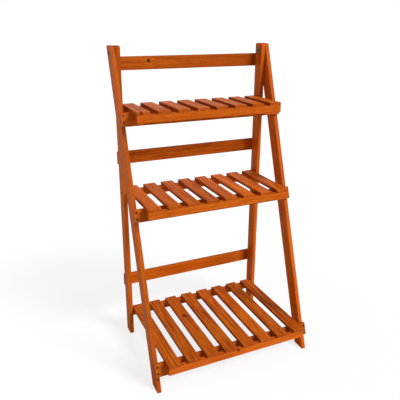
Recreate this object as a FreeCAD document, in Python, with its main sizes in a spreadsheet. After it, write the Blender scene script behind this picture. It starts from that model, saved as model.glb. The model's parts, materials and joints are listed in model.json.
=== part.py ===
import FreeCAD, Part
import math
import os

import Sketcher
from FreeCAD import Placement, Rotation, Vector

# Folding wooden plant stand: two ladder frames hinged at the top, with three
# slatted shelves that are hinged to the rear frame and rest on the front one.
# Millimetres. +X runs to the stand's right as seen from its front, -Y is the
# front, +Z is up. The origin is the centre of the footprint on the floor.

os.makedirs("parts", exist_ok=True)
doc = FreeCAD.newDocument("plant_stand")

# ---------------------------------------------------------------- dimensions

SIZES = {
    # the stand as it stands open
    "stand_width": 600.0,
    "stand_height": 1100.0,
    "lean_angle": 18.6,
    "pivot_drop": 25.0,
    # boards of the two frames
    "board_thickness": 15.0,
    "front_leg_width": 48.0,
    "rear_leg_width": 45.0,
    "crossbar_width": 45.0,
    "leg_top_radius": 8.0,
    "board_edge_radius": 1.5,
    # gaps that hold a washer
    "leg_gap": 2.0,
    "shelf_side_gap": 2.0,
    # middle of each rear crossbar: the top one's below the leg tops, the others' above the floor
    "top_rear_crossbar_drop": 60.0,
    "upper_rear_crossbar_height": 711.5,
    "lower_rear_crossbar_height": 217.5,
    # shelves
    "slat_width": 45.0,
    "slat_thickness": 10.0,
    "slat_edge_radius": 1.5,
    "rail_height": 26.0,
    "rail_thickness": 16.0,
    "top_shelf_height": 907.0,
    "middle_shelf_height": 607.0,
    "bottom_shelf_height": 113.0,
    "top_shelf_overhang": 72.0,
    "middle_shelf_overhang": 50.0,
    "bottom_shelf_overhang": 42.0,
    "top_hinge_inset": 22.5,
    "middle_hinge_inset": 22.5,
    "bottom_hinge_inset": 12.0,
    "top_slat_tail": 13.0,
    "middle_slat_tail": 14.0,
    "bottom_slat_tail": 8.0,
    "hinge_drop": 20.0,
    "stop_length": 20.0,
    "stop_height": 14.0,
    # clearances
    "seat_gap": 0.3,
    "fit_clearance": 0.05,
    # pivot bolts
    "bolt_radius": 4.0,
    "bolt_head_radius": 9.0,
    "bolt_head_height": 4.5,
    "bolt_end_depth": 1.0,
    "pivot_washer_radius": 9.0,
    "washer_thickness": 1.6,
    "nut_flange_radius": 10.0,
    "nut_flange_thickness": 1.4,
    "nut_barrel_radius": 5.5,
    "nut_barrel_length": 9.0,
    # hinge screws of the shelves
    "hinge_screw_radius": 3.0,
    "hinge_screw_head_radius": 5.5,
    "hinge_screw_length": 35.0,
    "hinge_washer_radius": 7.0,
    # wood screws of the crossbars
    "screw_radius": 2.0,
    "screw_head_radius": 4.0,
    "screw_length": 40.0,
    "screw_spacing": 22.0,
    # brads of the slats
    "brad_radius": 0.9,
    "brad_length": 28.0,
}

SLAT_COUNT = 8
STOPPED_SLATS = (2, 7)
SHELVES = ("top", "middle", "bottom")
REAR_CROSSBARS = ("top", "upper", "lower")

sheet = doc.addObject("Spreadsheet::Sheet", "Sizes")
for row, (alias, value) in enumerate(SIZES.items(), start=1):
    sheet.set(f"A{row}", alias)
    sheet.set(f"B{row}", str(value))
    sheet.setAlias(f"B{row}", alias)
doc.recompute()


def cell(alias):
    """The expression that reads one driving dimension."""
    return f"Sizes.{alias}"


# Derived sizes and places, as expressions of the driving dimensions.
LEAN = cell("lean_angle")
THICK = cell("board_thickness")
CLEAR = cell("fit_clearance")
HALF_WIDTH = f"({cell('stand_width')} / 2)"
FRONT_INNER_X = f"({HALF_WIDTH} - {THICK})"
REAR_OUTER_X = f"({FRONT_INNER_X} - {cell('leg_gap')})"
REAR_INNER_X = f"({REAR_OUTER_X} - {THICK})"
SHELF_HALF = f"({REAR_INNER_X} - {cell('shelf_side_gap')})"
FRONT_HALF_LEG = f"({cell('front_leg_width')} / 2)"
REAR_HALF_LEG = f"({cell('rear_leg_width')} / 2)"
FACE_OFFSET = f"({FRONT_HALF_LEG} + {THICK})"
PIVOT_Z = f"({cell('stand_height')} - {cell('pivot_drop')})"
SLAT_PITCH = f"((2 * {SHELF_HALF} - {cell('slat_width')}) / {SLAT_COUNT - 1})"
SCREW_INSET = f"({THICK} / 2)"
HEAD_DEPTH = f"({cell('screw_head_radius')} - {cell('screw_radius')})"
HINGE_HEAD_DEPTH = f"({cell('hinge_screw_head_radius')} - {cell('hinge_screw_radius')})"


def crossbar_reach(height):
    """How far the front crossbars' front faces lie ahead of the pivot at a height."""
    return f"(({PIVOT_Z} - {height}) * tan({LEAN}) + {FACE_OFFSET} / cos({LEAN}))"


def shelf_top(shelf):
    return cell(f"{shelf}_shelf_height")


def slat_underside(shelf):
    return f"({shelf_top(shelf)} - {cell('slat_thickness')})"


def shelf_reach(shelf):
    """How far the front of a shelf lies ahead of the pivot."""
    return f"({crossbar_reach(slat_underside(shelf))} + {cell(shelf + '_shelf_overhang')})"


# The pivot stands so far back that the footprint's centre is the origin.
PIVOT_Y = f"(({shelf_reach('bottom')} - {REAR_HALF_LEG} - {THICK}) / 2)"
REAR_FRONT_Y = f"({PIVOT_Y} - {REAR_HALF_LEG})"
REAR_BACK_Y = f"({PIVOT_Y} + {REAR_HALF_LEG})"


def shelf_front(shelf):
    return f"({PIVOT_Y} - {shelf_reach(shelf)})"


def hinge_y(shelf):
    return f"({REAR_FRONT_Y} + {cell(shelf + '_hinge_inset')})"


def hinge_z(shelf):
    return f"({shelf_top(shelf)} - {cell('hinge_drop')})"


def slat_depth(shelf):
    return f"({hinge_y(shelf)} + {cell(shelf + '_slat_tail')} - {shelf_front(shelf)})"


def slat_x(number):
    """Middle of a slat, counted from the left as seen from the front."""
    return f"({number - 1} * {SLAT_PITCH} - {SHELF_HALF} + {cell('slat_width')} / 2)"


def arris_z(shelf):
    """Height of the front top edge of the crossbar that the shelf rests on."""
    return f"({slat_underside(shelf)} - {cell('seat_gap')})"


def crossbar_top(shelf):
    """Distance of a front crossbar's top edge from the pivot, along the leg (negative)."""
    return f"(({arris_z(shelf)} - {PIVOT_Z} - {FACE_OFFSET} * sin({LEAN})) / cos({LEAN}))"


def leg_y(along, across):
    """World Y of a point on a front leg, from its place along and across the leg."""
    return f"({PIVOT_Y} + {along} * sin({LEAN}) + {across} * cos({LEAN}))"


def leg_z(along, across):
    return f"({PIVOT_Z} + {along} * cos({LEAN}) - {across} * sin({LEAN}))"


def rear_crossbar_middle(bar):
    if bar == "top":
        return f"({cell('stand_height')} - {cell('top_rear_crossbar_drop')})"
    return cell(f"{bar}_rear_crossbar_height")


def value(expression):
    """The number that an expression has now, for code that picks edges."""
    return float(sheet.evalExpression(expression.replace("Sizes.", "")))


# ------------------------------------------------------------------- helpers

def new_body(label):
    body = doc.addObject("PartDesign::Body", label)
    body.Label = label
    return body


def origin_plane(body, role):
    return next(plane for plane in body.Origin.OriginFeatures if plane.Role == role)


def new_sketch(body, role, name, offset=None):
    """A sketch on one of the body's own origin planes, moved along its normal if asked."""
    sketch = body.newObject("Sketcher::SketchObject", name)
    sketch.AttachmentSupport = [(origin_plane(body, role), "")]
    sketch.MapMode = "FlatFace"
    if offset is not None:
        sketch.setExpression("AttachmentOffset.Base.z", offset)
    return sketch


def bind_point(sketch, geometry, vertex, place):
    """Tie a sketch point to the origin by two bound distances."""
    for kind, expression in zip(("DistanceX", "DistanceY"), place):
        index = sketch.addConstraint(
            Sketcher.Constraint(kind, -1, 1, geometry, vertex, value(expression))
        )
        sketch.setExpression(f"Constraints[{index}]", expression)


def draw_polygon(sketch, corners):
    """Closed outline through corners given as pairs of expressions."""
    points = [Vector(value(x), value(y), 0) for x, y in corners]
    lines = []
    for start, end in zip(points, points[1:] + points[:1]):
        lines.append(sketch.addGeometry(Part.LineSegment(start, end), False))
    for line, following in zip(lines, lines[1:] + lines[:1]):
        sketch.addConstraint(Sketcher.Constraint("Coincident", line, 2, following, 1))
    for line, corner in zip(lines, corners):
        bind_point(sketch, line, 1, corner)


def draw_circles(sketch, centres, radius):
    """Equal circles whose middles are pairs of expressions."""
    for x, y in centres:
        circle = Part.Circle(Vector(value(x), value(y), 0), Vector(0, 0, 1), value(radius))
        index = sketch.addGeometry(circle, False)
        bind_point(sketch, index, 3, (x, y))
        size = sketch.addConstraint(Sketcher.Constraint("Radius", index, value(radius)))
        sketch.setExpression(f"Constraints[{size}]", radius)


def rectangle(left, bottom, right, top):
    return [(left, bottom), (right, bottom), (right, top), (left, top)]


def pad(body, sketch, length):
    feature = body.newObject("PartDesign::Pad", "Pad")
    feature.Profile = sketch
    feature.setExpression("Length", length)
    sketch.Visibility = False
    doc.recompute()
    return feature


def pocket(body, sketch, length, reverse):
    """Cut a sketch into the body and make sure that it removed something."""
    before = body.Shape.Volume
    feature = body.newObject("PartDesign::Pocket", "Pocket")
    feature.Profile = sketch
    feature.setExpression("Length", length)
    feature.Reversed = reverse
    doc.recompute()
    if body.Shape.Volume >= before:
        raise RuntimeError(f"{body.Label}: a pocket removed nothing")
    return feature


def edge_names(body, wanted):
    return [f"Edge{i}" for i, edge in enumerate(body.Shape.Edges, start=1) if wanted(edge)]


def near(a, b):
    return abs(a - b) < 1e-4


def runs_along(edge, direction):
    if edge.Curve.TypeId != "Part::GeomLine":
        return False
    return abs(edge.tangentAt(edge.FirstParameter).dot(direction)) > 0.9999


def round_edges(body, wanted, radius):
    base = (body.Tip, edge_names(body, wanted))
    feature = body.newObject("PartDesign::Fillet", "Fillet")
    feature.Base = base
    feature.setExpression("Radius", radius)
    doc.recompute()
    return feature


def bevel_edges(body, wanted, size):
    base = (body.Tip, edge_names(body, wanted))
    feature = body.newObject("PartDesign::Chamfer", "Chamfer")
    feature.Base = base
    feature.setExpression("Size", size)
    doc.recompute()
    return feature


def place(thing, x, y, z):
    """Bind where an object stands."""
    for axis, expression in zip("xyz", (x, y, z)):
        thing.setExpression(f"Placement.Base.{axis}", expression)


def turn(thing, axis, expression):
    """Bind how an object is turned about one axis through its own origin."""
    thing.Placement = Placement(thing.Placement.Base, Rotation(axis, value(expression)))
    thing.setExpression("Placement.Rotation.Angle", expression)


# -------------------------------------------------------------------- boards

def pilot_depth():
    return f"({cell('screw_length')} - {THICK} + {cell('seat_gap')})"


def screw_pair(middle):
    """Two places, one above and one below a crossbar's middle line."""
    return [f"({middle} + {cell('screw_spacing')} / 2)", f"({middle} - {cell('screw_spacing')} / 2)"]


def crossbar_middle(shelf):
    return f"({crossbar_top(shelf)} - {cell('crossbar_width')} / 2)"


def front_leg(label, left_face):
    """Leaning leg: drawn about the pivot, with a level foot and a level rounded top."""
    body = new_body(label)
    half = FRONT_HALF_LEG

    def level_cut(height, across):
        return f"(({height} - {PIVOT_Z} + {across} * sin({LEAN})) / cos({LEAN}))"

    top = cell("stand_height")
    corners = [
        (f"-{half}", level_cut("0", f"-{half}")),
        (half, level_cut("0", half)),
        (half, level_cut(top, half)),
        (f"-{half}", level_cut(top, f"-{half}")),
    ]
    side = new_sketch(body, "YZ_Plane", "Side")
    draw_polygon(side, corners)
    pad(body, side, THICK)

    top_z = min(value(corners[2][1]), value(corners[3][1]))
    across_leg = Vector(1, 0, 0)
    round_edges(
        body,
        lambda edge: runs_along(edge, across_leg) and edge.CenterOfMass.z > top_z - 1,
        cell("leg_top_radius"),
    )
    round_edges(body, lambda edge: runs_along(edge, Vector(0, 0, 1)), cell("board_edge_radius"))

    bore = new_sketch(body, "YZ_Plane", "PivotBore")
    draw_circles(bore, [("0", "0")], f"({cell('bolt_radius')} + {CLEAR})")
    pocket(body, bore, THICK, True)

    pilots = [
        (SCREW_INSET, height)
        for shelf in SHELVES
        for height in screw_pair(crossbar_middle(shelf))
    ]
    holes = new_sketch(body, "XZ_Plane", "ScrewPilots", half)
    draw_circles(holes, pilots, f"({cell('screw_radius')} + {CLEAR})")
    pocket(body, holes, pilot_depth(), False)

    place(body, left_face, PIVOT_Y, PIVOT_Z)
    turn(body, Vector(1, 0, 0), f"-{LEAN}")
    return body


def rear_leg(label, left_face, outer_face, inner_face, inner_looks_right):
    """Upright leg with the stepped pivot bore, three hinge bores and the crossbars' pilots."""
    body = new_body(label)
    half = REAR_HALF_LEG
    side = new_sketch(body, "YZ_Plane", "Side")
    draw_polygon(side, rectangle(f"-{half}", "0", half, cell("stand_height")))
    pad(body, side, THICK)

    top_z = value(cell("stand_height"))
    round_edges(
        body,
        lambda edge: runs_along(edge, Vector(1, 0, 0)) and near(edge.CenterOfMass.z, top_z),
        cell("leg_top_radius"),
    )
    round_edges(body, lambda edge: runs_along(edge, Vector(0, 0, 1)), cell("board_edge_radius"))

    bore = new_sketch(body, "YZ_Plane", "PivotBore")
    draw_circles(bore, [("0", PIVOT_Z)], f"({cell('bolt_radius')} + {CLEAR})")
    pocket(body, bore, THICK, True)
    nut_seat = new_sketch(body, "YZ_Plane", "NutSeat", inner_face)
    draw_circles(nut_seat, [("0", PIVOT_Z)], f"({cell('nut_barrel_radius')} + {CLEAR})")
    seat_depth = f"({cell('nut_barrel_length')} + {cell('seat_gap')})"
    pocket(body, nut_seat, seat_depth, not inner_looks_right)

    hinges = [(f"({hinge_y(shelf)} - {PIVOT_Y})", hinge_z(shelf)) for shelf in SHELVES]
    hinge_radius = f"({cell('hinge_screw_radius')} + {CLEAR})"
    bores = new_sketch(body, "YZ_Plane", "HingeBores")
    draw_circles(bores, hinges, hinge_radius)
    pocket(body, bores, THICK, True)
    bevel_edges(
        body,
        lambda edge: near(edge.CenterOfMass.x, value(outer_face))
        and edge.Curve.TypeId == "Part::GeomCircle"
        and near(edge.Curve.Radius, value(hinge_radius)),
        f"({HINGE_HEAD_DEPTH} + {CLEAR})",
    )

    pilots = [
        (f"-{SCREW_INSET}", height)
        for bar in REAR_CROSSBARS
        for height in screw_pair(rear_crossbar_middle(bar))
    ]
    holes = new_sketch(body, "XZ_Plane", "ScrewPilots", f"-{half}")
    draw_circles(holes, [(SCREW_INSET, z) for _, z in pilots], f"({cell('screw_radius')} + {CLEAR})")
    pocket(body, holes, pilot_depth(), True)

    place(body, left_face, PIVOT_Y, "0")
    return body


def crossbar(label, half_length):
    """Board across a frame: back face on Y = 0, top edge on Z = 0, screwed at each end."""
    body = new_body(label)
    outline = new_sketch(body, "XZ_Plane", "Outline")
    draw_polygon(
        outline, rectangle(f"-{half_length}", f"-{cell('crossbar_width')}", half_length, "0")
    )
    pad(body, outline, THICK)
    round_edges(body, lambda edge: runs_along(edge, Vector(1, 0, 0)), cell("board_edge_radius"))

    heights = screw_pair(f"(-{cell('crossbar_width')} / 2)")
    ends = [f"({SCREW_INSET} - {half_length})", f"({half_length} - {SCREW_INSET})"]
    hole_radius = f"({cell('screw_radius')} + {CLEAR})"
    holes = new_sketch(body, "XZ_Plane", "ScrewHoles")
    draw_circles(holes, [(x, z) for x in ends for z in heights], hole_radius)
    pocket(body, holes, THICK, True)
    front_y = -value(THICK)
    bevel_edges(
        body,
        lambda edge: edge.Curve.TypeId == "Part::GeomCircle"
        and near(edge.Curve.Radius, value(hole_radius))
        and near(edge.CenterOfMass.y, front_y),
        HEAD_DEPTH,
    )
    return body


def front_crossbar(shelf):
    body = crossbar(f"front_crossbar_{shelf}", HALF_WIDTH)
    along = crossbar_top(shelf)
    across = f"-{FRONT_HALF_LEG}"
    place(body, "0", leg_y(along, across), leg_z(along, across))
    turn(body, Vector(1, 0, 0), f"-{LEAN}")
    return body


def rear_crossbar(bar):
    """The same board, turned round so that its screw heads face the back."""
    body = crossbar(f"rear_crossbar_{bar}", REAR_OUTER_X)
    top = f"({rear_crossbar_middle(bar)} + {cell('crossbar_width')} / 2)"
    body.Placement = Placement(Vector(0, 0, 0), Rotation(Vector(0, 0, 1), 180))
    place(body, "0", REAR_BACK_Y, top)
    return body


# ------------------------------------------------------------------- shelves

def brad_places(shelf):
    """Depth of the front and the rear brads, measured from the slats' front ends."""
    front = f"({cell('rail_thickness')} / 2)"
    rear = f"({hinge_y(shelf)} - {shelf_front(shelf)})"
    return [front, rear]


def slat(shelf, number):
    body = new_body(f"{shelf}_shelf_slat_{number}")
    half = f"({cell('slat_width')} / 2)"
    outline = new_sketch(body, "XY_Plane", "Outline")
    draw_polygon(outline, rectangle(f"-{half}", "0", half, slat_depth(shelf)))
    pad(body, outline, cell("slat_thickness"))
    top_z = value(cell("slat_thickness"))
    up = Vector(0, 0, 1)
    round_edges(
        body,
        lambda edge: runs_along(edge, up) or near(edge.CenterOfMass.z, top_z),
        cell("slat_edge_radius"),
    )
    holes = new_sketch(body, "XY_Plane", "BradHoles")
    draw_circles(holes, [("0", y) for y in brad_places(shelf)], f"({cell('brad_radius')} + {CLEAR})")
    pocket(body, holes, cell("slat_thickness"), True)
    place(body, slat_x(number), shelf_front(shelf), slat_underside(shelf))
    return body


def rail(label, shelf, brad_y):
    """Batten on edge under the slats: front face on Y = 0, top on Z = 0."""
    body = new_body(label)
    outline = new_sketch(body, "YZ_Plane", "Outline", f"-{SHELF_HALF}")
    draw_polygon(outline, rectangle("0", f"-{cell('rail_height')}", cell("rail_thickness"), "0"))
    pad(body, outline, f"(2 * {SHELF_HALF})")
    bottom_z = -value(cell("rail_height"))
    along = Vector(1, 0, 0)
    round_edges(
        body,
        lambda edge: runs_along(edge, along) and near(edge.CenterOfMass.z, bottom_z),
        cell("board_edge_radius"),
    )
    holes = new_sketch(body, "XY_Plane", "BradHoles")
    centres = [(slat_x(number), brad_y) for number in range(1, SLAT_COUNT + 1)]
    draw_circles(holes, centres, f"({cell('brad_radius')} + {CLEAR})")
    depth = f"({cell('brad_length')} - {cell('slat_thickness')} + {cell('seat_gap')})"
    pocket(body, holes, depth, False)
    return body


def front_rail(shelf):
    body = rail(f"{shelf}_shelf_front_rail", shelf, f"({cell('rail_thickness')} / 2)")
    place(body, "0", shelf_front(shelf), slat_underside(shelf))
    return body


def rear_rail(shelf):
    """Rear batten, bored at both ends for the hinge screws."""
    body = rail(f"{shelf}_shelf_rear_rail", shelf, f"({cell('rail_thickness')} / 2)")
    depth = f"({cell('hinge_screw_length')} - {THICK} - {cell('shelf_side_gap')} + {cell('seat_gap')})"
    centre = (f"({cell('rail_thickness')} / 2)", f"({hinge_z(shelf)} - {slat_underside(shelf)})")
    for name, offset, reverse in (
        ("LeftBore", f"-{SHELF_HALF}", True),
        ("RightBore", SHELF_HALF, False),
    ):
        bore = new_sketch(body, "YZ_Plane", name, offset)
        draw_circles(bore, [centre], f"({cell('hinge_screw_radius')} + {CLEAR})")
        pocket(body, bore, depth, reverse)
    place(body, "0", f"({hinge_y(shelf)} - {cell('rail_thickness')} / 2)", slat_underside(shelf))
    return body


def stop_block(shelf, number):
    """Block under a slat whose slanting back bears on the front crossbar's face."""
    body = new_body(f"{shelf}_stop_under_slat_{number}")
    back_top = f"({PIVOT_Y} - {crossbar_reach(slat_underside(shelf))})"
    back_low = f"({back_top} - {cell('stop_height')} * tan({LEAN}) - {cell('seat_gap')})"
    back_high = f"({back_top} - {cell('seat_gap')})"
    front = f"({back_high} - {cell('stop_length')})"
    low = f"-{cell('stop_height')}"
    half = f"({cell('slat_width')} / 2)"
    profile = new_sketch(body, "YZ_Plane", "Profile", f"-{half}")
    draw_polygon(profile, [(front, low), (back_low, low), (back_high, "0"), (front, "0")])
    pad(body, profile, cell("slat_width"))
    place(body, slat_x(number), "0", slat_underside(shelf))
    return body


def stop_blocks(shelf):
    return group(f"{shelf}_shelf_stops", [stop_block(shelf, number) for number in STOPPED_SLATS])


# ----------------------------------------------------------------- fasteners

def primitive(kind, **sizes):
    solid = doc.addObject(kind, "Solid")
    for name, expression in sizes.items():
        solid.setExpression(name, expression)
    return solid


def fused(solids):
    feature = doc.addObject("Part::MultiFuse", "Piece")
    feature.Shapes = solids
    return feature


def group(label, pieces):
    """Identical separate pieces that share one node."""
    feature = doc.addObject("Part::Compound", label)
    feature.Label = label
    feature.Links = pieces
    return feature


def countersunk_screw(shank_radius, head_radius, length):
    """Screw along its own +Z: flat head on Z = 0, pointed tip at the far end."""
    head_depth = f"({head_radius} - {shank_radius})"
    head = primitive("Part::Cone", Radius1=head_radius, Radius2=shank_radius, Height=head_depth)
    shank = primitive(
        "Part::Cylinder", Radius=shank_radius, Height=f"({length} - 2 * {shank_radius})"
    )
    tip = primitive(
        "Part::Cone", Radius1=shank_radius, Radius2="0", Height=f"(2 * {shank_radius})"
    )
    tip.setExpression("Placement.Base.z", f"({length} - 2 * {shank_radius})")
    return fused([head, shank, tip])


def point_along(thing, direction):
    thing.Placement = Placement(Vector(0, 0, 0), Rotation(Vector(0, 0, 1), direction))


def front_crossbar_screws():
    screws = []
    for side in (-1, 1):
        x = f"({side} * ({HALF_WIDTH} - {SCREW_INSET}))"
        for shelf in SHELVES:
            for along in screw_pair(crossbar_middle(shelf)):
                screw = countersunk_screw(
                    cell("screw_radius"), cell("screw_head_radius"), cell("screw_length")
                )
                lean = math.radians(value(LEAN))
                point_along(screw, Vector(0, math.cos(lean), -math.sin(lean)))
                across = f"-{FACE_OFFSET}"
                place(screw, x, leg_y(along, across), leg_z(along, across))
                screws.append(screw)
    return group("front_crossbar_screws", screws)


def rear_crossbar_screws():
    screws = []
    for side in (-1, 1):
        x = f"({side} * ({REAR_OUTER_X} - {SCREW_INSET}))"
        for bar in REAR_CROSSBARS:
            for height in screw_pair(rear_crossbar_middle(bar)):
                screw = countersunk_screw(
                    cell("screw_radius"), cell("screw_head_radius"), cell("screw_length")
                )
                point_along(screw, Vector(0, -1, 0))
                place(screw, x, f"({REAR_BACK_Y} + {THICK})", height)
                screws.append(screw)
    return group("rear_crossbar_screws", screws)


def hinge_screws(shelf):
    screws = []
    for side in (-1, 1):
        screw = countersunk_screw(
            cell("hinge_screw_radius"), cell("hinge_screw_head_radius"), cell("hinge_screw_length")
        )
        point_along(screw, Vector(-side, 0, 0))
        place(screw, f"({side} * {REAR_OUTER_X})", hinge_y(shelf), hinge_z(shelf))
        screws.append(screw)
    return group(f"{shelf}_hinge_screws", screws)


def washer(bore, rim, thickness):
    disc = primitive("Part::Cylinder", Radius=rim, Height=thickness)
    hole = primitive("Part::Cylinder", Radius=bore, Height=thickness)
    ring = doc.addObject("Part::Cut", "Ring")
    ring.Base = disc
    ring.Tool = hole
    return ring


def hinge_washers(shelf):
    """One washer in each gap between the rear rail and a rear leg."""
    washers = []
    bore = f"({cell('hinge_screw_radius')} + {CLEAR})"
    spare = f"(({cell('shelf_side_gap')} - {cell('washer_thickness')}) / 2)"
    for side in (-1, 1):
        ring = washer(bore, cell("hinge_washer_radius"), cell("washer_thickness"))
        point_along(ring, Vector(side, 0, 0))
        place(ring, f"({side} * ({SHELF_HALF} + {spare}))", hinge_y(shelf), hinge_z(shelf))
        washers.append(ring)
    return group(f"{shelf}_hinge_washers", washers)


def shelf_brads(shelf):
    """One brad through each slat into each rail."""
    body = new_body(f"{shelf}_shelf_brads")
    body.AllowCompound = True
    places = new_sketch(body, "XY_Plane", "Places")
    centres = [
        (slat_x(number), y)
        for y in brad_places(shelf)
        for number in range(1, SLAT_COUNT + 1)
    ]
    draw_circles(places, centres, cell("brad_radius"))
    pad(body, places, cell("brad_length"))
    place(body, "0", shelf_front(shelf), f"({shelf_top(shelf)} - {cell('brad_length')})")
    return body


def pivot_bolt(side):
    """Dome-headed bolt, drawn along its own +Z from under its head."""
    body = new_body(f"pivot_bolt_{side}")
    length = f"(2 * {THICK} + {cell('leg_gap')} - {cell('bolt_end_depth')})"
    profile = new_sketch(body, "XZ_Plane", "Profile")
    head_radius = cell("bolt_head_radius")
    head_height = cell("bolt_head_height")
    rim = value(head_radius)
    crown = value(head_height)
    shank = value(cell("bolt_radius"))
    end = value(length)
    points = [
        Vector(0, -crown, 0),
        Vector(0, end, 0),
        Vector(shank, end, 0),
        Vector(shank, 0, 0),
        Vector(rim, 0, 0),
    ]
    lines = [
        sketch_line(profile, points[i], points[i + 1]) for i in range(4)
    ]
    sagitta = Vector(rim * 0.62, -crown * 0.62, 0)
    dome = profile.addGeometry(Part.Arc(points[4], sagitta, points[0]), False)
    for line, following in zip(lines, lines[1:]):
        profile.addConstraint(Sketcher.Constraint("Coincident", line, 2, following, 1))
    profile.addConstraint(Sketcher.Constraint("Coincident", lines[3], 2, dome, 2))
    profile.addConstraint(Sketcher.Constraint("Coincident", dome, 1, lines[0], 1))
    bind_point(profile, lines[0], 1, ("0", f"-{head_height}"))
    bind_point(profile, lines[1], 1, ("0", length))
    bind_point(profile, lines[2], 1, (cell("bolt_radius"), length))
    bind_point(profile, lines[3], 1, (cell("bolt_radius"), "0"))
    bind_point(profile, lines[3], 2, (head_radius, "0"))
    profile.addConstraint(Sketcher.Constraint("PointOnObject", dome, 3, -2))
    turned = body.newObject("PartDesign::Revolution", "Turned")
    turned.Profile = profile
    turned.ReferenceAxis = (profile, ["V_Axis"])
    turned.Angle = 360
    profile.Visibility = False
    doc.recompute()
    return body


def sketch_line(sketch, start, end):
    return sketch.addGeometry(Part.LineSegment(start, end), False)


def pivot_bolts():
    bolts = []
    for side, name in ((-1, "left"), (1, "right")):
        bolt = pivot_bolt(name)
        point_along(bolt, Vector(-side, 0, 0))
        place(bolt, f"({side} * {HALF_WIDTH})", PIVOT_Y, PIVOT_Z)
        bolts.append(bolt)
    return group("pivot_bolts", bolts)


def pivot_washers():
    """A washer between the two legs on each side."""
    washers = []
    bore = f"({cell('bolt_radius')} + {CLEAR})"
    spare = f"(({cell('leg_gap')} - {cell('washer_thickness')}) / 2)"
    for side in (-1, 1):
        ring = washer(bore, cell("pivot_washer_radius"), cell("washer_thickness"))
        point_along(ring, Vector(side, 0, 0))
        place(ring, f"({side} * ({REAR_OUTER_X} + {spare}))", PIVOT_Y, PIVOT_Z)
        washers.append(ring)
    return group("pivot_washers", washers)


def pivot_nuts():
    """Tee nut on each side: its barrel sits in the rear leg, its flange on the inner face."""
    nuts = []
    flange_thickness = cell("nut_flange_thickness")
    whole_length = f"({flange_thickness} + {cell('nut_barrel_length')})"
    for side in (-1, 1):
        flange = primitive(
            "Part::Cylinder", Radius=cell("nut_flange_radius"), Height=flange_thickness
        )
        barrel = primitive(
            "Part::Cylinder", Radius=cell("nut_barrel_radius"), Height=whole_length
        )
        thread = primitive(
            "Part::Cylinder", Radius=f"({cell('bolt_radius')} + {CLEAR})", Height=whole_length
        )
        nut = doc.addObject("Part::Cut", "Nut")
        nut.Base = fused([flange, barrel])
        nut.Tool = thread
        point_along(nut, Vector(side, 0, 0))
        place(nut, f"({side} * ({REAR_INNER_X} - {flange_thickness}))", PIVOT_Y, PIVOT_Z)
        nuts.append(nut)
    return group("pivot_nuts", nuts)


# --------------------------------------------------------------------- build

nodes = [
    rear_leg("rear_leg_left", f"(-{REAR_OUTER_X})", "0", THICK, True),
    rear_leg("rear_leg_right", REAR_INNER_X, THICK, "0", False),
    front_leg("front_leg_left", f"(-{HALF_WIDTH})"),
    front_leg("front_leg_right", FRONT_INNER_X),
]
nodes += [rear_crossbar(bar) for bar in REAR_CROSSBARS]
nodes += [front_crossbar(shelf) for shelf in SHELVES]
nodes += [rear_crossbar_screws(), front_crossbar_screws()]
nodes += [pivot_bolts(), pivot_washers(), pivot_nuts()]
for shelf in SHELVES:
    nodes += [slat(shelf, number) for number in range(1, SLAT_COUNT + 1)]
    nodes += [front_rail(shelf), rear_rail(shelf)]
    nodes += [stop_blocks(shelf), shelf_brads(shelf)]
    nodes += [hinge_screws(shelf), hinge_washers(shelf)]

doc.recompute()

for thing in doc.Objects:
    if {"Invalid", "Error"} & set(thing.State):
        raise RuntimeError(f"{thing.Label} failed: {thing.State}")
for node in nodes:
    if node.Shape.isNull() or not node.Shape.isValid():
        raise RuntimeError(f"{node.Label} has no valid shape")
for node in nodes:
    node.Shape.exportStep(os.path.join("parts", f"{node.Label}.step"))

print(f"{len(nodes)} nodes written")
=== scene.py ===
import json
import math
import random

import bmesh
import bpy
from mathutils import Matrix, Vector


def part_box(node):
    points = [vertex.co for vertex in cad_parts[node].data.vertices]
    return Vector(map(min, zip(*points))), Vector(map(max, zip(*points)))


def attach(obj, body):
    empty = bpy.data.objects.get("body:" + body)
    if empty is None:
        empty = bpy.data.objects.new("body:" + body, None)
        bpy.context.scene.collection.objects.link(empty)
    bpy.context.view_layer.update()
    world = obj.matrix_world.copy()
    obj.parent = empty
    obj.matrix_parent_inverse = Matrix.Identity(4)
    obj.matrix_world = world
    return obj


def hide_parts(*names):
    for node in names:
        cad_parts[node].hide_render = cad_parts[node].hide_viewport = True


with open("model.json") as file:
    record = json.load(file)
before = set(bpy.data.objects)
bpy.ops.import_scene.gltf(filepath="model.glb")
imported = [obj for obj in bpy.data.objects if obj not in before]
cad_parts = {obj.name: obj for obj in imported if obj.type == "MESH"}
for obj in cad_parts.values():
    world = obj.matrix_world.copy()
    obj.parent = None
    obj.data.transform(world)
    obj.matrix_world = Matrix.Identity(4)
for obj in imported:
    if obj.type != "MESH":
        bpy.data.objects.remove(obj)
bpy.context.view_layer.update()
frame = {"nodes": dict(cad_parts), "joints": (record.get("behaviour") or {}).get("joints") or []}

# Folding plant stand of orange-brown stained softwood, standing open on a pale floor.

fold = next(joint for joint in frame["joints"] if joint["name"] == "front_frame_fold")

# The front legs lean as far as the front frame folds.
LEAN = math.radians(fold["range_deg"][1])


# ------------------------------------------------------------ colours and nodes

# A Mix node's sockets for colours, which share their names with its sockets for numbers.
FACTOR, UNDER, OVER, MIXED = 0, 6, 7, 2


def linear(code):
    """An sRGB hex colour as linear RGBA."""
    channels = [int(code[i:i + 2], 16) / 255 for i in (1, 3, 5)]
    return tuple(c / 12.92 if c <= 0.04045 else ((c + 0.055) / 1.055) ** 2.4 for c in channels) + (1.0,)


def add_node(tree, kind, inputs=None, **settings):
    """Adds a shader node, sets its attributes, then fills its sockets with values or links."""
    node = tree.nodes.new(kind)
    for name, setting in settings.items():
        setattr(node, name, setting)
    for name, source in (inputs or {}).items():
        if isinstance(source, bpy.types.NodeSocket):
            tree.links.new(source, node.inputs[name])
        else:
            node.inputs[name].default_value = source
    return node


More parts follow.
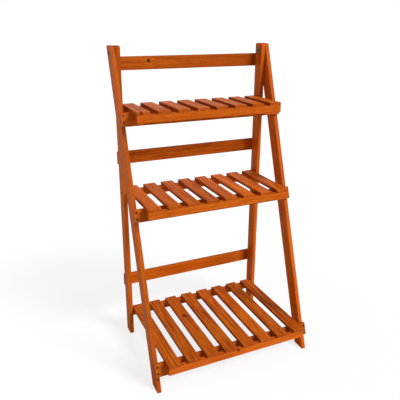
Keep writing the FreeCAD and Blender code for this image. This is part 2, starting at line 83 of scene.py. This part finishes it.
def lay_over(tree, under, pattern, start, full, share, colour):
    """Lays a share of a colour over another, from where a pattern starts to where it is full."""
    fade = add_node(
        tree,
        "ShaderNodeMapRange",
        {"Value": pattern, "From Min": start, "From Max": full, "To Max": share},
        interpolation_type="SMOOTHSTEP",
    ).outputs["Result"]
    layered = {FACTOR: fade, UNDER: under, OVER: linear(colour)}
    return add_node(tree, "ShaderNodeMix", layered, data_type="RGBA").outputs[MIXED]


def new_material(name):
    material = bpy.data.materials.new(name)
    material.use_nodes = True
    tree = material.node_tree
    tree.nodes.clear()
    return material, tree


def per_metre(millimetres):
    """The texture scale at which one grain of noise is this wide."""
    return 1000 / millimetres


def dress(piece, material):
    piece.data.materials.clear()
    piece.data.materials.append(material)


# ------------------------------------------------------------ stained softwood

# The way that the grain of a board runs.
GRAIN_AXIS = {
    "x": (1.0, 0.0, 0.0),
    "y": (0.0, 1.0, 0.0),
    "z": (0.0, 0.0, 1.0),
    "lean": (0.0, math.sin(LEAN), math.cos(LEAN)),
}

# Rotations that turn a texture's own Z along that grain.
GRAIN_TURN = {
    "x": (0.0, math.pi / 2, 0.0),
    "y": (math.pi / 2, 0.0, 0.0),
    "z": (0.0, 0.0, 0.0),
    "lean": (-LEAN, 0.0, 0.0),
}

# How many times longer the grain's figures are than they are wide.
GRAIN_STRETCH = 26.0

# A ring texture of scale 1 has a ring every 0.314 of its units.
RING_SPACING = 0.314

ACROSS_SLAT = (1.0, 0.0, 0.0)


def flow_round_knot(tree, position, knot):
    """Bends the grain round a knot. Gives the bent position, and the knot's darkness from 0 to 1."""
    centre, radius = knot
    offset = add_node(
        tree, "ShaderNodeVectorMath", {0: position, 1: centre}, operation="SUBTRACT"
    ).outputs[0]
    away = add_node(tree, "ShaderNodeVectorMath", {0: offset}, operation="LENGTH").outputs["Value"]

    # The knot's edge wanders in and out, by a noise 6 mm wide.
    wobble = add_node(
        tree, "ShaderNodeTexNoise", {"Vector": position, "Scale": per_metre(6.0), "Detail": 1.0}
    ).outputs["Fac"]
    ragged = add_node(
        tree, "ShaderNodeMath", {0: wobble, 1: 0.9 * radius, 2: away}, operation="MULTIPLY_ADD"
    ).outputs[0]
    darkness = add_node(
        tree,
        "ShaderNodeMapRange",
        {"Value": ragged, "From Min": 1.9 * radius, "From Max": 0.9 * radius},
        interpolation_type="SMOOTHSTEP",
    ).outputs["Result"]

    # The grain is drawn in towards the knot, from 7 radii away.
    squeeze = add_node(
        tree,
        "ShaderNodeMapRange",
        {"Value": away, "From Min": 0.5 * radius, "From Max": 7.0 * radius, "To Min": 0.2},
        interpolation_type="SMOOTHSTEP",
    ).outputs["Result"]
    drawn = add_node(
        tree, "ShaderNodeVectorMath", {0: offset, "Scale": squeeze}, operation="SCALE"
    ).outputs[0]
    bent = add_node(tree, "ShaderNodeVectorMath", {0: drawn, 1: centre}, operation="ADD").outputs[0]
    return bent, darkness


def stained_softwood(name, grain, pith, ring_mm, contrast, tone, knot):
    """Planed fir under a translucent orange-brown stain, its year rings drawn about the pith.

    The stain shows as dark late-wood lines, golden and brown streaks, and darker end grain, with
    hardly any gloss. A slat's narrow sides and ends are darkened further as painted shade.
    """
    material, tree = new_material(name)
    place = add_node(tree, "ShaderNodeTexCoord").outputs
    position = place["Object"]
    if knot:
        position, knot_and_shadow_darkness = flow_round_knot(tree, position, knot)
    board = add_node(
        tree,
        "ShaderNodeMapping",
        {
            "Vector": position,
            "Location": pith,
            "Rotation": GRAIN_TURN[grain],
            "Scale": (1.0, 1.0, GRAIN_STRETCH),
        },
        vector_type="TEXTURE",
    ).outputs["Vector"]

    rings = add_node(
        tree,
        "ShaderNodeTexWave",
        {
            "Vector": board,
            "Scale": RING_SPACING * per_metre(ring_mm),
            "Distortion": 5.0,
            "Detail": 2.0,
            "Detail Scale": 0.25,
            "Detail Roughness": 0.45,
        },
        wave_type="RINGS",
        rings_direction="Z",
        wave_profile="SAW",
    ).outputs["Fac"]
    # Real fibres are about 0.04 mm wide, too fine to show, so they are drawn 1.1 mm wide.
    fibres = add_node(
        tree,
        "ShaderNodeTexNoise",
        {"Vector": board, "Scale": per_metre(1.1), "Detail": 2.0, "Roughness": 0.6},
    ).outputs["Fac"]
    streaks = add_node(
        tree,
        "ShaderNodeTexNoise",
        {"Vector": board, "Scale": per_metre(5.0), "Detail": 3.0, "Roughness": 0.6},
    ).outputs["Fac"]
    blotches = add_node(
        tree,
        "ShaderNodeTexNoise",
        {"Vector": board, "Scale": per_metre(45.0), "Detail": 3.0, "Roughness": 0.55},
    ).outputs["Fac"]

    # Each layer's pattern, where it starts, where it is full, its share and its colour.
    wood = linear("#d46a1b")
    for layer in (
        (rings, 0.35, 1.0, contrast, "#84360a"),
        (streaks, 0.52, 0.38, 0.9 * contrast, "#dd8226"),
        (streaks, 0.48, 0.62, 1.1 * contrast, "#742c08"),
        (fibres, 0.38, 0.68, 0.5, "#8d3a0b"),
        (blotches, 0.42, 0.72, 0.6, "#a5490f"),
    ):
        wood = lay_over(tree, wood, *layer)
    # Darkens each knot; on the top shelf's first slat this dark knot is painted shadow at the slat's
    # front end.
    if knot:
        knotted_and_shadowed = {FACTOR: knot_and_shadow_darkness, UNDER: wood, OVER: linear("#4a1a08")}
        wood = add_node(tree, "ShaderNodeMix", knotted_and_shadowed, data_type="RGBA").outputs[MIXED]

    # A board's ends are darker, partly because sawn end grain drinks more stain than planed faces; a
    # slat's darker ends and narrow sides are also painted shade.
    if grain == "y":
        stain_and_painted_shade_faces = [(GRAIN_AXIS[grain], 0.5), (ACROSS_SLAT, 0.6)]
    else:
        stain_and_painted_shade_faces = [(GRAIN_AXIS[grain], 0.55)]
    for direction, share in stain_and_painted_shade_faces:
        facing = add_node(
            tree, "ShaderNodeVectorMath", {0: place["Normal"], 1: direction}, operation="DOT_PRODUCT"
        ).outputs["Value"]
        either_way = add_node(tree, "ShaderNodeMath", {0: facing}, operation="ABSOLUTE").outputs[0]
        wood = lay_over(tree, wood, either_way, 0.6, 0.95, share, "#7e3410")

    # A deeper stain takes more from green and blue than from red.
    shaded = {FACTOR: 1.0, UNDER: wood, OVER: (tone, 0.9 * tone, 0.55 * tone, 1.0)}
    wood = add_node(
        tree, "ShaderNodeMix", shaded, data_type="RGBA", blend_type="MULTIPLY"
    ).outputs[MIXED]

    late_wood = add_node(
        tree,
        "ShaderNodeMapRange",
        {"Value": rings, "From Min": 0.35},
        interpolation_type="SMOOTHSTEP",
    ).outputs["Result"]
    relief = add_node(tree, "ShaderNodeMath", {0: late_wood, 1: fibres}, operation="ADD").outputs[0]
    bump = add_node(tree, "ShaderNodeBump", {"Height": relief, "Strength": 0.25, "Distance": 0.0002})
    roughness = add_node(
        tree,
        "ShaderNodeMapRange",
        {"Value": fibres, "From Min": 0.3, "From Max": 0.7, "To Min": 0.42, "To Max": 0.56},
        interpolation_type="SMOOTHSTEP",
    ).outputs["Result"]
    surface = add_node(
        tree,
        "ShaderNodeBsdfPrincipled",
        {
            "Base Color": wood,
            "Roughness": roughness,
            "Normal": bump.outputs["Normal"],
            "Specular IOR Level": 0.05,
        },
    )
    add_node(tree, "ShaderNodeOutputMaterial", {"Surface": surface.outputs[0]})
    return material


# Knots that the photograph shows, as middle and radius in metres. The one on the top shelf's first slat
# is painted shadow at the slat's front end, drawn as a dark knot.
KNOTS_AND_PAINTED_SHADOW = {
    "rear_crossbar_top": ((-0.157, 0.2089, 1.048), 0.006),
    "bottom_shelf_slat_3": ((-0.105, 0.031, 0.113), 0.008),
    "bottom_shelf_front_rail": ((-0.007, -0.2235, 0.101), 0.005),
    # Painted shadow at the front end of this slat, drawn as a dark knot.
    "top_shelf_slat_1": ((-0.253, 0.013, 0.904), 0.006),
    "front_leg_left": ((-0.2925, -0.186, 0.043), 0.0035),
}

# Boards whose tone is matched to the photograph. The rest have one picked at random.
TONES = {
    "rear_crossbar_top": 0.75,
    "rear_crossbar_upper": 0.97,
    "front_leg_left": 0.74,
    "front_leg_right": 0.95,
    "rear_leg_left": 0.82,
    "top_shelf_front_rail": 0.86,
    "middle_shelf_front_rail": 0.88,
    "front_crossbar_middle": 0.76,
    "front_crossbar_bottom": 0.86,
    "bottom_shelf_slat_1": 0.93,
    "bottom_shelf_slat_2": 0.87,
    "bottom_shelf_slat_3": 0.87,
    "bottom_shelf_slat_4": 0.9,
    "middle_shelf_slat_5": 1.1,
    "middle_shelf_slat_6": 1.14,
    "middle_shelf_slat_7": 1.14,
    "middle_shelf_slat_8": 1.14,
}

pick = random.Random(11)


def grain_of(node):
    if "slat" in node:
        return "y"
    if "rear_leg" in node:
        return "z"
    if "front_leg" in node:
        return "lean"
    return "x"


def board_finish(node):
    """A board's own wood, its pith beside it, with rings and contrast picked at random."""
    low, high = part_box(node)
    away = pick.uniform(0.02, 0.07)
    turn = pick.uniform(0, 2 * math.pi)
    grain = grain_of(node)
    axis = Vector(GRAIN_AXIS[grain])
    across = axis.orthogonal().normalized()
    other = axis.cross(across)
    pith = (low + high) / 2 + away * (math.cos(turn) * across + math.sin(turn) * other)
    tone = TONES.get(node, pick.uniform(0.9, 1.06))
    ring_mm = pick.uniform(4.0, 7.5)
    contrast = pick.uniform(0.4, 0.85) if grain == "y" else pick.uniform(0.2, 0.5)
    finish = f"stained_fir_{node}"
    return stained_softwood(finish, grain, pith, ring_mm, contrast, tone, KNOTS_AND_PAINTED_SHADOW.get(node))


# ------------------------------------------------------------ plated steel

def plated_steel(name, colour, roughness):
    """Steel of the fasteners under a thin plating, satin and slightly mottled."""
    material, tree = new_material(name)
    position = add_node(tree, "ShaderNodeTexCoord").outputs["Object"]
    # The crystals of a real plating are under 0.1 mm, too fine to show, so the mottle is 1.4 mm wide.
    mottle = add_node(
        tree, "ShaderNodeTexNoise", {"Vector": position, "Scale": per_metre(1.4), "Detail": 3.0}
    ).outputs["Fac"]
    rough = add_node(
        tree,
        "ShaderNodeMapRange",
        {
            "Value": mottle,
            "From Min": 0.3,
            "From Max": 0.7,
            "To Min": roughness - 0.06,
            "To Max": roughness + 0.08,
        },
        interpolation_type="SMOOTHSTEP",
    ).outputs["Result"]
    plating = {"Base Color": linear(colour), "Metallic": 1.0, "Roughness": rough}
    surface = add_node(tree, "ShaderNodeBsdfPrincipled", plating)
    add_node(tree, "ShaderNodeOutputMaterial", {"Surface": surface.outputs[0]})
    return material


bronzed = plated_steel("bronzed_screw_steel", "#40291a", 0.5)
zinc = plated_steel("zinc_plated_steel", "#5e564b", 0.48)

for name, piece in sorted(frame["nodes"].items()):
    if any(word in name for word in ("bolts", "nuts", "washers")):
        dress(piece, zinc)
    elif any(word in name for word in ("screws", "brads")):
        dress(piece, bronzed)
    else:
        dress(piece, board_finish(name))


# ------------------------------------------------------------ fasteners with their recesses

# Radii and lengths in metres, as the CAD solids have them.
CROSSBAR_SCREW = {"shank": 0.002, "head": 0.004, "length": 0.04}
HINGE_SCREW = {"shank": 0.003, "head": 0.0055, "length": 0.035}
PIVOT_BOLT = {"shank": 0.004, "head": 0.009, "crown": 0.0045, "length": 0.031}

# The ways that screws point. Those that lie on the right point the mirrored way.
INTO_FRONT_LEG = Vector((0.0, math.cos(LEAN), -math.sin(LEAN)))
INTO_REAR_LEG = Vector((0.0, -1.0, 0.0))
INTO_LEFT_RAIL_END = Vector((1.0, 0.0, 0.0))

SAME_PLACE = 1e-5
SCREW_SIDES = 16
BOLT_SIDES = 24
SHARP = math.radians(35)


def screw_spots(node, inward):
    """Middle of each screw head of a CAD group, and the way that the screw points."""
    source = bmesh.new()
    source.from_mesh(frame["nodes"][node].data)
    bmesh.ops.remove_doubles(source, verts=source.verts, dist=SAME_PLACE)
    spots = []
    found = set()
    for start in source.verts:
        if start in found:
            continue
        found.add(start)
        island = [start]
        for vertex in island:
            for edge in vertex.link_edges:
                other = edge.other_vert(vertex)
                if other not in found:
                    found.add(other)
                    island.append(other)
        axis = inward.copy()
        if start.co.x > 0:
            axis.x = -axis.x
        face = min(vertex.co.dot(axis) for vertex in island)
        rim = [vertex.co for vertex in island if vertex.co.dot(axis) < face + SAME_PLACE]
        middle = Vector([(min(c) + max(c)) / 2 for c in zip(*rim)])
        spots.append((middle, axis))
    source.free()
    return spots


def finished_mesh(form, name):
    """A mesh of what a bmesh holds. The bmesh is then freed."""
    data = bpy.data.meshes.new(name)
    form.to_mesh(data)
    form.free()
    return data


def screw_form(shank, head, length):
    """A countersunk screw with a cross recess, its head at the origin and its point up Z."""
    form = bmesh.new()
    slope = head - shank
    point = 2 * shank
    tip = 0.1  # width of the tip, as a share of the shank's
    bmesh.ops.create_cone(
        form,
        cap_ends=True,
        segments=SCREW_SIDES,
        radius1=head,
        radius2=shank,
        depth=slope,
        matrix=Matrix.Translation((0, 0, slope / 2)),
    )
    ends = [face for face in form.faces if len(face.verts) == SCREW_SIDES]
    crown, neck = sorted(ends, key=lambda face: face.calc_center_median().z)
    for rise, width in ((length - slope - point, 1.0), (point, tip)):
        neck = bmesh.ops.extrude_discrete_faces(form, faces=[neck])["faces"][0]
        bmesh.ops.translate(form, verts=neck.verts, vec=(0, 0, rise))
        bmesh.ops.scale(form, verts=neck.verts, vec=(width, width, 1))

    # The inset's corners are drawn to a cross, which then sinks in and narrows. Those near a diagonal
    # become the cross's inner corners.
    rim = 0.3 * head
    arm = 0.64 * head
    half_width = 0.2 * head
    depth = 0.5 * head
    taper = 0.55
    diagonal = 0.1 * head
    bmesh.ops.inset_individual(form, faces=[crown], thickness=rim)
    for corner in crown.verts:
        x, y = corner.co.xy
        if abs(abs(x) - abs(y)) < diagonal:
            corner.co.xy = math.copysign(half_width, x), math.copysign(half_width, y)
        elif abs(x) > abs(y):
            corner.co.xy = math.copysign(arm, x), max(-half_width, min(half_width, y))
        else:
            corner.co.xy = max(-half_width, min(half_width, x)), math.copysign(arm, y)
    pit = bmesh.ops.extrude_discrete_faces(form, faces=[crown])["faces"][0]
    bmesh.ops.translate(form, verts=pit.verts, vec=(0, 0, depth))
    bmesh.ops.scale(form, verts=pit.verts, vec=(taper, taper, 1))
    bmesh.ops.recalc_face_normals(form, faces=form.faces)
    return finished_mesh(form, "screw_form")


def bolt_form(shank, head, crown, length):
    """A dome-headed bolt with a hexagon socket, from under its head up Z."""
    form = bmesh.new()
    dome = (head**2 + crown**2) / (2 * crown)
    chamfer = 0.001
    rim = 0.06 * head
    half_across_flats = 0.27 * head
    depth = 0.55 * crown

    # From the socket over the dome to the end of the shank.
    dome_radii = (0.37 * head, 0.7 * head, 0.9 * head, head)
    outline = [(radius, dome - crown - math.sqrt(dome**2 - radius**2)) for radius in dome_radii]
    outline += [(shank, 0.0), (shank, length - chamfer), (shank - chamfer, length)]
    points = [form.verts.new((radius, 0.0, height)) for radius, height in outline]
    edges = [form.edges.new(pair) for pair in zip(points, points[1:])]
    bmesh.ops.spin(
        form,
        geom=points + edges,
        cent=(0, 0, 0),
        axis=(0, 0, 1),
        angle=2 * math.pi,
        steps=BOLT_SIDES,
        use_merge=True,
    )
    bmesh.ops.holes_fill(form, edges=form.edges, sides=BOLT_SIDES)

    # The inset's corners are drawn to a hexagon, which then sinks in.
    socket = min(form.faces, key=lambda face: face.calc_center_median().z)
    bmesh.ops.inset_individual(form, faces=[socket], thickness=rim)
    for corner in socket.verts:
        from_flat = math.atan2(corner.co.y, corner.co.x) % (math.pi / 3) - math.pi / 6
        corner.co.xy = corner.co.xy.normalized() * half_across_flats / math.cos(from_flat)
    pit = bmesh.ops.extrude_discrete_faces(form, faces=[socket])["faces"][0]
    bmesh.ops.translate(form, verts=pit.verts, vec=(0, 0, depth))
    bmesh.ops.recalc_face_normals(form, faces=form.faces)

    for face in form.faces:
        face.smooth = len(face.verts) == 4
    for edge in form.edges:
        edge.smooth = edge.calc_face_angle(0.0) < SHARP
    return finished_mesh(form, "bolt_form")


def recessed_fasteners(node, body, spots, form, finish):
    """Fasteners with their recesses, which stand for a CAD group of plain ones."""
    group = bmesh.new()
    for middle, axis in spots:
        made = len(group.verts)
        group.from_mesh(form)
        group.verts.ensure_lookup_table()
        point_inward = axis.to_track_quat("Z", "Y").to_matrix().to_4x4()
        driven_home = Matrix.Rotation(pick.uniform(0, math.pi), 4, "Z")
        place = Matrix.Translation(middle) @ point_inward @ driven_home
        bmesh.ops.transform(group, matrix=place, verts=group.verts[made:])
    name = f"recessed_{node}"
    fasteners = bpy.data.objects.new(name, finished_mesh(group, name))
    bpy.context.scene.collection.objects.link(fasteners)
    dress(fasteners, finish)
    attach(fasteners, body)
    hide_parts(node)


crossbar_screw = screw_form(**CROSSBAR_SCREW)
hinge_screw = screw_form(**HINGE_SCREW)
pivot_bolt = bolt_form(**PIVOT_BOLT)

spots = screw_spots("front_crossbar_screws", INTO_FRONT_LEG)
recessed_fasteners("front_crossbar_screws", "front_frame", spots, crossbar_screw, bronzed)
spots = screw_spots("rear_crossbar_screws", INTO_REAR_LEG)
recessed_fasteners("rear_crossbar_screws", "rear_frame", spots, crossbar_screw, bronzed)
for shelf in ("top", "middle", "bottom"):
    spots = screw_spots(f"{shelf}_hinge_screws", INTO_LEFT_RAIL_END)
    recessed_fasteners(f"{shelf}_hinge_screws", f"{shelf}_shelf", spots, hinge_screw, bronzed)

# The bolts' heads lie on the legs' outer faces, at the pivot.
outer_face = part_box("front_leg_right")[1].x
pivot_y, pivot_z = fold["pos_m"][1:]
spots = [
    (Vector((side * outer_face, pivot_y, pivot_z)), Vector((-side, 0.0, 0.0))) for side in (-1, 1)
]
recessed_fasteners("pivot_bolts", "rear_frame", spots, pivot_bolt, zinc)


# ------------------------------------------------------------ studio

WHITE = (1.0, 1.0, 1.0, 1.0)


def floor_material():
    """Pale matt floor that keeps the object's shadow and fades to white with the distance."""
    material, tree = new_material("pale_studio_floor")
    matt = add_node(tree, "ShaderNodeBsdfDiffuse", {"Color": (0.85, 0.85, 0.85, 1.0)}).outputs[0]
    lit = add_node(tree, "ShaderNodeEmission", {"Color": WHITE, "Strength": 1.06}).outputs[0]
    position = add_node(tree, "ShaderNodeTexCoord").outputs["Object"]
    away = add_node(tree, "ShaderNodeVectorMath", {0: position}, operation="LENGTH").outputs["Value"]
    share = add_node(
        tree,
        "ShaderNodeMapRange",
        {"Value": away, "From Min": 0.5, "From Max": 2.0, "To Min": 0.72, "To Max": 1.0},
        interpolation_type="SMOOTHSTEP",
    ).outputs["Result"]
    glow = add_node(tree, "ShaderNodeMixShader", {0: share, 1: matt, 2: lit}).outputs[0]
    seen = add_node(tree, "ShaderNodeLightPath").outputs["Is Camera Ray"]
    surface = add_node(tree, "ShaderNodeMixShader", {0: seen, 1: matt, 2: glow}).outputs[0]
    add_node(tree, "ShaderNodeOutputMaterial", {"Surface": surface})
    return material


def lamp(name, kind, strength, direction):
    """A lamp of the studio that shines the given way."""
    data = bpy.data.lights.new(name, kind)
    data.energy = strength
    light = bpy.data.objects.new(name, data)
    bpy.context.scene.collection.objects.link(light)
    light.rotation_euler = Vector(direction).to_track_quat("-Z", "Y").to_euler()
    return light


bpy.ops.mesh.primitive_plane_add(size=60)
floor = bpy.context.object
floor.name = "studio_floor"
dress(floor, floor_material())

key = lamp("key_window", "SUN", strength=3.3, direction=(-0.42, 0.66, -0.62))
key.data.angle = math.radians(24)

left_strip = lamp("left_strip", "AREA", strength=2.2, direction=(0.7, 0.1, -0.3))
left_strip.location = (-1.0, -0.1, 0.9)
left_strip.data.size = 0.7
left_strip.visible_glossy = False

# The surround is white where it is seen, straight or mirrored, and lights the wood only softly.
world = bpy.data.worlds.new("studio_surround")
bpy.context.scene.world = world
world.use_nodes = True
tree = world.node_tree
tree.nodes.clear()
rays = add_node(tree, "ShaderNodeLightPath").outputs
mirrored = add_node(
    tree,
    "ShaderNodeMath",
    {0: rays["Is Glossy Ray"], 1: rays["Is Transmission Ray"]},
    operation="MAXIMUM",
).outputs[0]
seen = add_node(
    tree, "ShaderNodeMath", {0: rays["Is Camera Ray"], 1: mirrored}, operation="MAXIMUM"
).outputs[0]
ambient = add_node(tree, "ShaderNodeBackground", {"Color": WHITE, "Strength": 0.3}).outputs[0]
backdrop = add_node(tree, "ShaderNodeBackground", {"Color": WHITE, "Strength": 1.0}).outputs[0]
surround = add_node(tree, "ShaderNodeMixShader", {0: seen, 1: ambient, 2: backdrop}).outputs[0]
add_node(tree, "ShaderNodeOutputWorld", {"Surface": surround})


# ------------------------------------------------------------ camera at the photograph's angle

# Fitted to the photograph: the place in metres, then turn, dip and roll in radians.
CAMERA_PLACE = (-0.7234, -1.4648, 1.1785)
CAMERA_TURN = -0.4282
CAMERA_DIP = 0.3508
CAMERA_ROLL = 0.004
CAMERA_LENS = 44.2  # millimetres, on a sensor 36 mm wide

data = bpy.data.cameras.new("photo_camera")
data.lens = CAMERA_LENS
data.sensor_width = 36.0
camera = bpy.data.objects.new("photo_camera", data)
bpy.context.scene.collection.objects.link(camera)
turn = Matrix.Rotation(CAMERA_TURN, 4, "Z")
dip = Matrix.Rotation(math.pi / 2 - CAMERA_DIP, 4, "X")
roll = Matrix.Rotation(CAMERA_ROLL, 4, "Z")
camera.matrix_world = Matrix.Translation(CAMERA_PLACE) @ turn @ dip @ roll
bpy.context.scene.camera = camera
bpy.context.scene.view_settings.view_transform = "Standard"
